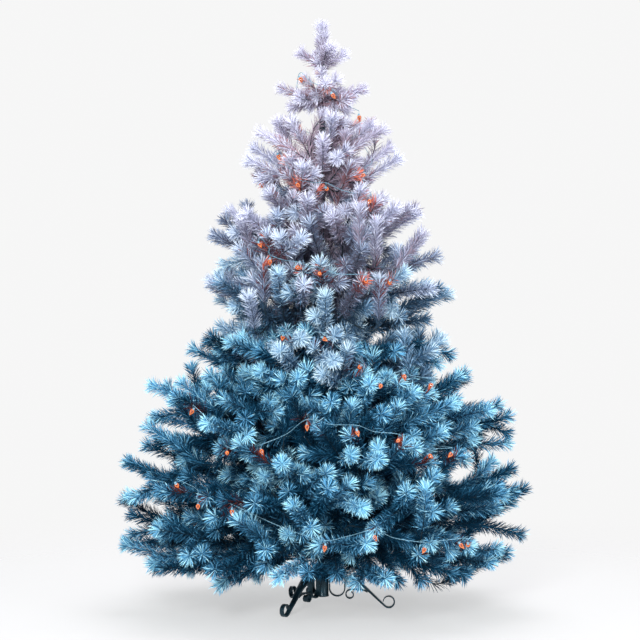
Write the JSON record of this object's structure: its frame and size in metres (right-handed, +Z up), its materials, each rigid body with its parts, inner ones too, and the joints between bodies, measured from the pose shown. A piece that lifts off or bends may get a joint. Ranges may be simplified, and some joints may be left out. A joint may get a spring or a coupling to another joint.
{
  "type": "artificial spruce tree",
  "caption": "Frosted artificial spruce tree: a cone of bottle-brush boughs on a slim steel pole, standing on a wrought scroll stand, dressed with a string of small amber lamps.",
  "frame": {"origin": "on the floor under the middle of the pole, at the level of the three feet", "axes": "+Z up along the pole; -Y faces the viewer of the picture; +X to that viewer's right, close to the way one leg of the stand points"},
  "size_m": [1.4665, 1.4338, 2.1],
  "materials": {
    "pole_steel": "dark enamel, satin",
    "stand_iron": "wrought bar under dark blue-black enamel, satin",
    "bough_wire": "twisted wire, dark",
    "needles_low": "soft plastic film needles, frosted at the tips, matt",
    "needles_middle": "soft plastic film needles, frosted at the tips, matt",
    "needles_high": "soft plastic film needles, heavily frosted, matt",
    "needles_top": "soft plastic film needles, heavily frosted, matt",
    "lamp_glass": "small amber lamps, lit",
    "lamp_lead": "pale sleeved wire and lamp holders"
  },
  "bodies": {
    "root": {"pole": "pole_steel", "stand_inner_brace_1": "stand_iron", "stand_inner_brace_2": "stand_iron", "stand_inner_brace_3": "stand_iron", "stand_leg_1": "stand_iron", "stand_leg_2": "stand_iron", "stand_leg_3": "stand_iron", "stand_outer_brace_1": "stand_iron", "stand_outer_brace_2": "stand_iron", "stand_outer_brace_3": "stand_iron", "stand_socket": "stand_iron", "top_foliage": "needles_top", "whorl_1_bough_1": "bough_wire", "whorl_1_bough_2": "bough_wire", "whorl_1_bough_3": "bough_wire", "whorl_1_bough_4": "bough_wire", "whorl_1_bough_5": "bough_wire", "whorl_1_foliage_1": "needles_low", "whorl_1_foliage_2": "needles_low", "whorl_1_foliage_3": "needles_low", "whorl_1_foliage_4": "needles_low", "whorl_1_foliage_5": "needles_low", "whorl_2_bough_1": "bough_wire", "whorl_2_bough_2": "bough_wire", "whorl_2_bough_3": "bough_wire", "whorl_2_bough_4": "bough_wire", "whorl_2_bough_5": "bough_wire", "whorl_2_foliage_1": "needles_low", "whorl_2_foliage_2": "needles_low", "whorl_2_foliage_3": "needles_low", "whorl_2_foliage_4": "needles_low", "whorl_2_foliage_5": "needles_low", "whorl_3_bough_1": "bough_wire", "whorl_3_bough_2": "bough_wire", "whorl_3_bough_3": "bough_wire", "whorl_3_bough_4": "bough_wire", "whorl_3_bough_5": "bough_wire", "whorl_3_foliage_1": "needles_low", "whorl_3_foliage_2": "needles_low", "whorl_3_foliage_3": "needles_low", "whorl_3_foliage_4": "needles_low", "whorl_3_foliage_5": "needles_low", "whorl_4_foliage_1": "needles_middle", "whorl_4_foliage_2": "needles_middle", "whorl_4_foliage_3": "needles_middle", "whorl_4_foliage_4": "needles_middle", "whorl_4_foliage_5": "needles_middle", "whorl_5_foliage_1": "needles_middle", "whorl_5_foliage_2": "needles_middle", "whorl_5_foliage_3": "needles_middle", "whorl_5_foliage_4": "needles_middle", "whorl_5_foliage_5": "needles_middle", "whorl_6_foliage_1": "needles_high", "whorl_6_foliage_2": "needles_high", "whorl_6_foliage_3": "needles_high", "whorl_6_foliage_4": "needles_high", "whorl_7_foliage_1": "needles_top", "whorl_7_foliage_2": "needles_top", "whorl_7_foliage_3": "needles_top", "whorl_7_foliage_4": "needles_top"}
  },
  "joints": []
}
